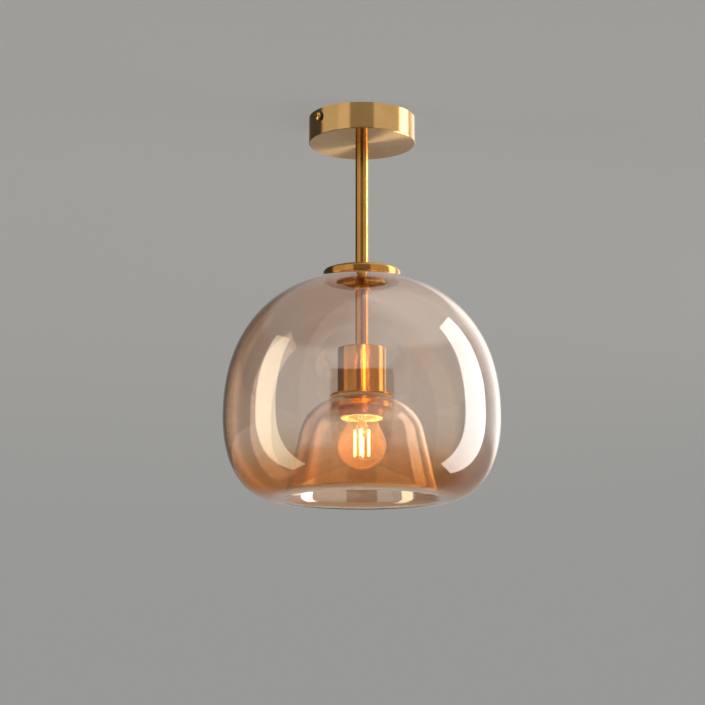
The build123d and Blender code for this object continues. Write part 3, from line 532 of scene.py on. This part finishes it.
cup = {"radius": 22.5, "wall": 1.2, "edge": 1.0, "innerEdge": 0.5, "foot": 0.2, "bore": 5.4, "flange": 29.0,
       "flangeThickness": 1.8, "flangeRound": 0.7, "flangeFillet": 1.5}
cupLow, cupHigh = levels("socket_cup")
flangeTop = cupLow + cup["flangeThickness"]
cupUnder = cupHigh - cup["wall"]
cupIn = cup["radius"] - cup["wall"]
turnedPiece("socketCup", roundOutline([
    (cup["bore"], cupUnder, 0), (cupIn, cupUnder, cup["innerEdge"]), (cupIn, cupLow, cup["foot"]),
    (cup["flange"], cupLow, cup["flangeRound"]), (cup["flange"], flangeTop, cup["flangeRound"]),
    (cup["radius"], flangeTop, cup["flangeFillet"]), (cup["radius"], cupHigh, cup["edge"]),
    (cup["bore"], cupHigh, 0)], guard=0.3), "root", ["socket_cup"], "brushed_brass", 192)

# the ring screws onto the lampholder and clamps the glass; its collar is threaded outside as well
ring = {"flange": 28.5, "flangeHeight": 5.9, "edge": 1.2, "seatEdge": 0.25, "collar": 22.0, "neck": 21.6,
        "bore": 20.0, "foot": 0.2, "pitch": 1.3, "depth": 0.5, "threadStart": 0.4, "threadEnd": 0.3,
        "threadStep": 0.16}
ringLow, ringHigh = levels("shade_ring")
ringStep = ringHigh - ring["flangeHeight"]
ringThread = (ringLow + ring["threadStart"], ringStep - ring["threadEnd"])
turnedPiece("shadeRing", roundOutline(
    [(ring["bore"], ringLow, ring["foot"]), (ring["neck"], ringLow, 0)]
    + stepped(ring["collar"], *ringThread, ring["threadStep"])
    + [(ring["neck"], ringStep, 0), (ring["flange"], ringStep, ring["edge"]),
       (ring["flange"], ringHigh, ring["seatEdge"]), (ring["bore"], ringHigh, 0)], guard=0.3),
    "ring", ["shade_ring"], "polished_brass", 192,
    helix(ring["collar"], ring["depth"], ring["pitch"], *ringThread))

holder = {"thread": 19.9, "depth": 0.7, "pitch": 2.0, "threadEnd": 0.6, "threadStep": 0.22,
          "mouth": 18.3, "mouthEdge": 0.35, "foot": 0.2, "mouthTaper": 1.2, "mouthDepth": 7.5,
          "mouthFillet": 0.3, "seat": 16.45, "shell": 14.2}
holderLow, holderHigh = levels("holder_body")
carrierLow = levels("contact_carrier")[0]
shellStep = holderLow + holder["mouthDepth"]
holderRoot = holder["thread"] - holder["depth"]
holderThread = (holderLow + holder["threadEnd"], holderHigh - holder["threadEnd"])
turnedPiece("holderBody", roundOutline(
    [(holder["mouth"], holderLow, holder["mouthEdge"]), (holderRoot, holderLow, holder["foot"])]
    + stepped(holder["thread"], *holderThread, holder["threadStep"])
    + [(holderRoot, holderHigh, 0), (holder["seat"], holderHigh, 0), (holder["seat"], carrierLow, 0),
       (holder["shell"], carrierLow, 0), (holder["shell"], shellStep, holder["foot"]),
       (holder["mouth"] - holder["mouthTaper"], shellStep, holder["mouthFillet"])], guard=0.3),
    "root", ["holder_body"], "moulded_phenolic", 160,
    helix(holder["thread"], holder["depth"], holder["pitch"], *holderThread))
print("cap, cup, ring and holder made")

# the bulb's cap is rolled sheet with a round thread, four turns of the real pitch
bulbCap = {"radius": 13.15, "wall": 0.6, "top": 10.5, "foot": 0.2, "innerFoot": 0.1, "topEdge": 0.5,
           "threadDepth": 1.0, "pitch": 3.629, "threadStart": 3.0, "turns": 4, "runIn": 1.2, "runOut": 1.0,
           "skirt": 1.0, "innerSkirt": 0.4, "threadStep": 0.3, "fade": 1.6}
capBottom, capTop = levels("bulb_screw_cap")
threadLow = capBottom + bulbCap["threadStart"] - bulbCap["runIn"]
threadHigh = capBottom + bulbCap["threadStart"] + bulbCap["turns"] * bulbCap["pitch"] + bulbCap["runOut"]
capWallIn = bulbCap["radius"] - bulbCap["wall"]
capInside = capWallIn - bulbCap["threadDepth"]
turnedPiece("bulbScrewCap", roundOutline(
    [(bulbCap["radius"], capBottom, bulbCap["foot"])]
    + stepped(bulbCap["radius"], capBottom + bulbCap["skirt"], threadHigh, bulbCap["threadStep"])
    + [(bulbCap["top"], capTop, bulbCap["topEdge"]), (bulbCap["top"] - bulbCap["wall"], capTop, 0),
       (capInside, threadHigh - bulbCap["runOut"], 0), (capInside, threadLow + bulbCap["runIn"], 0),
       (capWallIn, threadLow + bulbCap["innerSkirt"], 0), (capWallIn, capBottom, bulbCap["innerFoot"])],
    guard=0.3), "bulb", ["bulb_screw_cap"], "bulb_cap_metal", 128,
    helix(bulbCap["radius"], bulbCap["threadDepth"], bulbCap["pitch"], threadLow, threadHigh,
          bulbCap["fade"]))

bulb = {"radius": 22.5, "wall": 0.8, "skin": 0.02, "neck": 12.5, "neckDrop": 0.5, "skirt": 1.5}
bulbCentre = levels("bulb_glass")[0] + bulb["radius"]


def bulbFace(inset):
    # a neck, a cone that touches the ball, and the ball down to its lowest point
    arm = bulb["radius"] - inset
    start = Vector((bulb["neck"] - inset, capBottom - bulb["neckDrop"]))
    reach = start - Vector((0, bulbCentre))
    turn = math.atan2(reach.y, reach.x) - math.acos(arm / reach.length)
    ball = circleArc((0, bulbCentre), arm, turn, -math.pi / 2, 60)
    ball[-1] = (0, ball[-1][1])
    neckTop = (bulb["neck"] - inset, capBottom + bulb["skirt"])
    cone = [tuple(start.lerp(Vector(ball[0]), i / 6)) for i in range(6)]
    return [neckTop] + cone + ball


turnedPiece("bulbGlass", bulbFace(bulb["skin"]) + list(reversed(bulbFace(bulb["wall"]))), "bulb",
            ["bulb_glass"], "clear_glass", 128, None, 60)

stem = {"radius": 3.2, "waist": 1.2, "pinch": 1.9, "pinchLength": 3.0, "pinchEdge": 0.8, "flareHeight": 5.0,
        "flare": 11.6, "flareRim": 0.8, "flareFillet": 2.5, "rimEdge": 0.2, "topEdge": 0.1}
stemLow, stemTop = levels("bulb_stem")
turnedPiece("bulbStem", roundOutline([
    (0, stemLow, 0), (stem["pinch"], stemLow, stem["pinchEdge"]),
    (stem["radius"], stemLow + stem["pinchLength"], stem["waist"]),
    (stem["radius"], stemTop - stem["flareHeight"], stem["flareFillet"]),
    (stem["flare"], stemTop - stem["flareRim"], stem["rimEdge"]), (stem["flare"], stemTop, stem["topEdge"]),
    (0, stemTop, 0)], guard=0.3), "bulb", ["bulb_stem"], "clear_glass", 64, None, 50)

sticks = {"radius": 1.0, "reach": 6.5, "count": 4, "endRound": 0.9, "endTurn": 0.25, "tab": 0.55,
          "tabTip": 0.385, "tabEdge": 0.2, "tabLength": 1.6, "tabOverlap": 0.4}
stickLow, stickHigh = levels("led_filaments")


def stickMesh(outline, segments):
    # the same small turned shape at each stick's place round the bulb's axis
    vertices, faces = [], []
    for i in range(sticks["count"]):
        turn = 2 * math.pi * (i + 0.5) / sticks["count"]
        x, y = sticks["reach"] * math.cos(turn), sticks["reach"] * math.sin(turn)
        base = len(vertices)
        for radius, height in outline:
            for k in range(segments):
                a = 2 * math.pi * k / segments
                vertices.append(((x + radius * math.cos(a)) * mm, (y + radius * math.sin(a)) * mm,
                                 height * mm))
        for j in range(len(outline) - 1):
            for k in range(segments):
                n = (k + 1) % segments
                a, b = base + j * segments, base + (j + 1) * segments
                faces.append((a + k, a + n, b + n, b + k))
        faces.append([base + k for k in reversed(range(segments))])
        faces.append([base + (len(outline) - 1) * segments + k for k in range(segments)])
    return vertices, faces


coatLow = stickLow + sticks["tabLength"]
coated = circleArc((sticks["radius"] - sticks["endRound"], coatLow + sticks["endRound"]),
                   sticks["endRound"], -math.pi / 2 + sticks["endTurn"], 0, 6)
coatedTop = [(r, stickHigh + stickLow - z) for r, z in reversed(coated)]
keepPiece("filamentSticks", *stickMesh(coated + coatedTop, 24), "bulb", ["led_filaments"],
          "led_phosphor", 50)
tabReach = sticks["tabLength"] + sticks["tabOverlap"]
for label, low, high in (("filamentLowEnds", stickLow, stickLow + tabReach),
                         ("filamentHighEnds", stickHigh - tabReach, stickHigh)):
    tab = [(sticks["tabTip"], low), (sticks["tab"], low + sticks["tabEdge"]),
           (sticks["tab"], high - sticks["tabEdge"]), (sticks["tabTip"], high)]
    keepPiece(label, *stickMesh(tab, 16), "bulb", [], "support_wire", 40)
print("bulb made")

# pieces that keep the CAD shape get their finishes
for part in frame["record"]["subparts"]:
    node = frame["nodes"].get(part["node"])
    if node is not None and node.data is not None:
        node.data.materials.clear()
        node.data.materials.append(finishes[part["material_slot"]])

# the rod, cap and cup take a darker copy of the same brass: painted shade, so that they look less lit than
# the canopy
shadedBrass = brushedBrass("shadedBrushedBrass", brushedLook["shadedDark"], brushedLook["shadedLight"])
for name in ("hangingRod", "shadeCap", "socketCup"):
    bpy.data.objects[name].data.materials[0] = shadedBrass

# viewTurn is the compass turn from the lamp to the camera, in degrees, and lengths are in metres
studio = {"aim": (0, 0, -0.2), "lampDistance": 1.6, "viewTurn": 232.3, "wall": "#C6C5C2", "wallLight": 2.0,
          "ceiling": "#64625F", "ceilingGlow": 0.28, "ceilingTint": "#FFFFFC", "ceilingLift": 0.0003,
          "floor": "#E4E2DE", "floorDrop": 2.4, "sheetSize": 400.0}


def softbox(name, turn, rise, width, height, watts, colour, ends=1.0, through=1.0):
    # turn is counted from the camera's side to the right as seen by the camera, ends is how bright the
    # upper and lower ends are beside the middle, and through is how much shows behind glass
    angle = math.radians(studio["viewTurn"] + turn)
    lift = math.radians(rise)
    aim = Vector(studio["aim"])
    place = aim + studio["lampDistance"] * Vector((math.cos(angle) * math.cos(lift),
                                                   math.sin(angle) * math.cos(lift), math.sin(lift)))
    data = bpy.data.lights.new(name, "AREA")
    data.shape = "RECTANGLE"
    data.size, data.size_y = width, height
    data.energy = watts
    data.color = linear(colour)[:3]
    data.use_nodes = True
    cloth = data.node_tree
    cloth.nodes.clear()
    spot = addNode(cloth, "ShaderNodeNewGeometry")
    along = addNode(cloth, "ShaderNodeSeparateXYZ", links={"Vector": spot.outputs["Parametric"]})
    off = addNode(cloth, "ShaderNodeMath", {"operation": "SUBTRACT"}, {1: 0.5}, {0: along.outputs["Y"]})
    square = addNode(cloth, "ShaderNodeMath", {"operation": "MULTIPLY"}, {},
                     {0: off.outputs[0], 1: off.outputs[0]})
    fall = addNode(cloth, "ShaderNodeMapRange", {}, {"From Max": 0.25, "To Min": 1.0, "To Max": ends},
                   {"Value": square.outputs[0]})
    deep = addNode(cloth, "ShaderNodeLightPath").outputs["Transmission Depth"]
    veil = addNode(cloth, "ShaderNodeMapRange", {}, {"From Max": 2.0, "To Min": 1.0, "To Max": through},
                   {"Value": deep})
    level = addNode(cloth, "ShaderNodeMath", {"operation": "MULTIPLY"}, {},
                    {0: fall.outputs[0], 1: veil.outputs[0]})
    shine = addNode(cloth, "ShaderNodeEmission", {}, {}, {"Strength": level.outputs[0]})
    addNode(cloth, "ShaderNodeOutputLight", links={"Surface": shine.outputs[0]})
    lamp = bpy.data.objects.new(name, data)
    lamp.location = place
    lamp.rotation_euler = (aim - place).to_track_quat("-Z", "Y").to_euler()
    lamp.visible_camera = False
    bpy.context.scene.collection.objects.link(lamp)
    return lamp


def lightOnly(lamp, name, pieces, state):
    group = bpy.data.collections.new(name)
    for piece in pieces:
        group.objects.link(piece)
    lamp.light_linking.receiver_collection = group
    for link in group.collection_objects:
        link.light_linking.link_state = state


# two tall softboxes draw the bright bands on the glass, and a flag keeps the left one off the brass
brass = [bpy.data.objects[name] for name in ("canopyDish", "hangingRod", "shadeCap", "stopCollar",
                                             "socketCup", "shadeRing")]
softbox("rightSoftbox", 103.8, 0, 0.80, 3.05, 33.0, "#FFFFFF", 0.75, 0.42)
leftLamp = softbox("leftSoftbox", -82.3, -8, 0.62, 3.3, 22.0, "#FFECC0", 0.6, 0.12)
lightOnly(leftLamp, "flaggedFromLeft", brass, "EXCLUDE")

# small warm panels and strips, each for a piece or two, draw the light lines and faces on the brass:
# name, turn, rise, width, height, watts, colour and pieces
brassLights = [
    ("cupStrip", 11, 10, 0.26, 1.6, 40.0, "#FFE49A", ("socketCup", "shadeRing")),
    ("cupPanel", 16, 12, 1.3, 1.6, 26.0, "#FFE6A0", ("socketCup",)),
    ("ringPanel", 0, 12, 2.6, 0.6, 17.0, "#FFE8C4", ("shadeRing",)),
    ("rightStrip", 103.8, 10, 0.5, 1.6, 18.0, "#FFF4E0", ("socketCup", "shadeRing", "hangingRod")),
    ("capStrip", 180, -14, 3.2, 0.5, 26.0, "#FFBE58", ("shadeCap", "stopCollar")),
    ("canopyStrip", 146, -36, 0.7, 0.7, 28.0, "#FFFFFF", ("canopyDish",))]
for name, turn, rise, width, height, watts, colour, pieces in brassLights:
    strip = softbox(name, turn, rise, width, height, watts, colour)
    strip.data.cycles.use_multiple_importance_sampling = False  # so the clear glass doesn't mirror it
    lightOnly(strip, name + "Pieces", [piece for piece in brass if piece.name in pieces], "INCLUDE")

# the filaments' light on the pieces round them
glow = bpy.data.lights.new("bulbGlow", "POINT")
glow.energy = filamentLook["lampWatts"]
glow.color = linear(filamentLook["lampColour"])[:3]
glow.shadow_soft_size = filamentLook["lampRadiusMm"] * mm
glowLamp = bpy.data.objects.new("bulbGlow", glow)
glowLamp.location = (0, 0, (stickLow + stickHigh) / 2 * mm)
glowLamp.parent = frame["bodies"]["bulb"]
glowLamp.visible_camera = False
glowLamp.visible_transmission = False
glowLamp.visible_glossy = False
bpy.context.scene.collection.objects.link(glowLamp)

# how bright each side of the studio is, by its turn from the camera's side; the brass mirrors a dark
# gap on that side, up to 22 degrees over the horizon, and a bright patch far round to the right that
# starts at the horizon
sideTones = [(-176, 0.38), (-160, 0.14), (-150, 0.07), (-98, 0.08), (-94, 0.74), (-30, 0.90)]
rightTones = [(30, 0.76), (84, 0.66), (122, 0.60), (150, 0.42), (170, 0.4)]
rimTones = [(30, 0.76), (84, 0.70), (122, 0.75), (135, 1.2), (150, 1.9), (158, 1.5), (170, 0.5)]
gapTones = [(-26.5, 0.84), (-25.0, 0.12), (25.0, 0.12), (26.5, 0.76)]
topTones = [(-170, 0.35), (-100, 0.22), (-30, 0.42), (20, 0.95), (70, 1.35), (130, 1.1), (165, 0.5)]
lowTones = [(-90, 0.16), (90, 0.16)]

world = bpy.data.worlds.new("studioWalls")
bpy.context.scene.world = world
world.use_nodes = True
walls = world.node_tree
walls.nodes.clear()
heading = addNode(walls, "ShaderNodeTexCoord")
parts = addNode(walls, "ShaderNodeSeparateXYZ", links={"Vector": heading.outputs["Generated"]})
compass = addNode(walls, "ShaderNodeMath", {"operation": "ARCTAN2"},
                  links={0: parts.outputs["Y"], 1: parts.outputs["X"]})
fraction = addNode(walls, "ShaderNodeMapRange", {}, {"From Min": -math.pi, "From Max": math.pi},
                   {"Value": compass.outputs[0]})


def toneRing(tones):
    # the ramp holds each tone divided by the walls' light, because a ramp's colours stop at 1
    around = addNode(walls, "ShaderNodeValToRGB", links={"Fac": fraction.outputs[0]})
    stops = sorted((((studio["viewTurn"] + turn + 180) % 360) / 360, tone / studio["wallLight"])
                   for turn, tone in tones)
    bar = around.color_ramp
    while len(bar.elements) < len(stops):
        bar.elements.new(1.0)
    for i, (position, tone) in enumerate(stops):
        bar.elements[i].position = position
        bar.elements[i].color = (tone, tone, tone, 1)
    return around.outputs[0]


def changeAt(low, high, under, over):
    # one light under a height over the horizon and another over it, with a soft change, in degrees
    climb = addNode(walls, "ShaderNodeMapRange", {"interpolation_type": "SMOOTHSTEP"},
                    {"From Min": math.sin(math.radians(low)), "From Max": math.sin(math.radians(high))},
                    {"Value": parts.outputs["Z"]})
    blend = addNode(walls, "ShaderNodeMix", {"data_type": "RGBA"}, {},
                    {0: climb.outputs[0], 6: under, 7: over})
    return blend.outputs[2]


room = changeAt(-6, 6, toneRing(sideTones + gapTones + rightTones),
                toneRing(sideTones + gapTones + rimTones))
room = changeAt(21, 23, room, toneRing(sideTones + rimTones))
room = changeAt(32, 40, room, toneRing(topTones))
room = changeAt(-42, -26, toneRing(lowTones), room)
light = addNode(walls, "ShaderNodeBackground", {}, {"Strength": studio["wallLight"]}, {"Color": room})
shown = addNode(walls, "ShaderNodeBackground", {}, {"Color": linear(studio["wall"]), "Strength": 1.0})
ray = addNode(walls, "ShaderNodeLightPath")
mixed = addNode(walls, "ShaderNodeMixShader", {}, {},
                {0: ray.outputs["Is Camera Ray"], 1: light.outputs[0], 2: shown.outputs[0]})
addNode(walls, "ShaderNodeOutputWorld", links={"Surface": mixed.outputs[0]})


def ceilingPaint(tree, plaster):
    # the ceiling glows a little, and only a straight look from below meets it: mirrored looks and looks
    # from above go on to the walls
    seen = addNode(tree, "ShaderNodeEmission", {}, {"Color": linear(studio["ceilingTint"]),
                                                    "Strength": studio["ceilingGlow"]})
    lit = addNode(tree, "ShaderNodeAddShader", {}, {}, {0: plaster.outputs[0], 1: seen.outputs[0]})
    side = addNode(tree, "ShaderNodeNewGeometry")
    ray = addNode(tree, "ShaderNodeLightPath")
    skip = addNode(tree, "ShaderNodeMath", {"operation": "ADD", "use_clamp": True}, {},
                   {0: side.outputs["Backfacing"], 1: ray.outputs["Glossy Depth"]})
    clear = addNode(tree, "ShaderNodeBsdfTransparent")
    return addNode(tree, "ShaderNodeMixShader", {}, {},
                   {0: skip.outputs[0], 1: lit.outputs[0], 2: clear.outputs[0]})


def stageSheet(name, height, colour, ceiling):
    half = studio["sheetSize"] / 2
    mesh = bpy.data.meshes.new(name)
    corners = [(-half, -half, height), (half, -half, height), (half, half, height), (-half, half, height)]
    mesh.from_pydata(corners, [], [(3, 2, 1, 0) if ceiling else (0, 1, 2, 3)])
    sheet = bpy.data.objects.new(name, mesh)
    bpy.context.scene.collection.objects.link(sheet)
    material, tree = startMaterial(name + "Paint")
    plaster = addNode(tree, "ShaderNodeBsdfDiffuse", {}, {"Color": linear(colour), "Roughness": 0.5})
    mesh.materials.append(closeMaterial(material, ceilingPaint(tree, plaster) if ceiling else plaster))
    sheet.visible_shadow = False
    sheet.visible_glossy = False
    sheet.visible_diffuse = False


stageSheet("plainCeiling", studio["ceilingLift"], studio["ceiling"], True)
stageSheet("plainFloor", -studio["floorDrop"], studio["floor"], False)

camera = {"place": (-1.0702, -1.3846, -0.5768), "heading": -37.7, "tilt": 11.34, "lens": 98.56,
          "sensor": 36, "shift": -0.0132}
lens = bpy.data.cameras.new("photoCamera")
lens.lens = camera["lens"]
lens.sensor_width = camera["sensor"]
lens.shift_x = camera["shift"]
viewer = bpy.data.objects.new("photoCamera", lens)
viewer.location = camera["place"]
viewer.rotation_euler = (math.radians(90 + camera["tilt"]), 0, math.radians(camera["heading"]))
bpy.context.scene.collection.objects.link(viewer)
bpy.context.scene.camera = viewer

scene = bpy.context.scene
scene.view_settings.view_transform = "Standard"
bounces = {"max_bounces": 28, "transmission_bounces": 28, "glossy_bounces": 10, "diffuse_bounces": 4,
           "transparent_max_bounces": 24}
for kind, count in bounces.items():
    setattr(scene.cycles, kind, count)
print("studio ready")
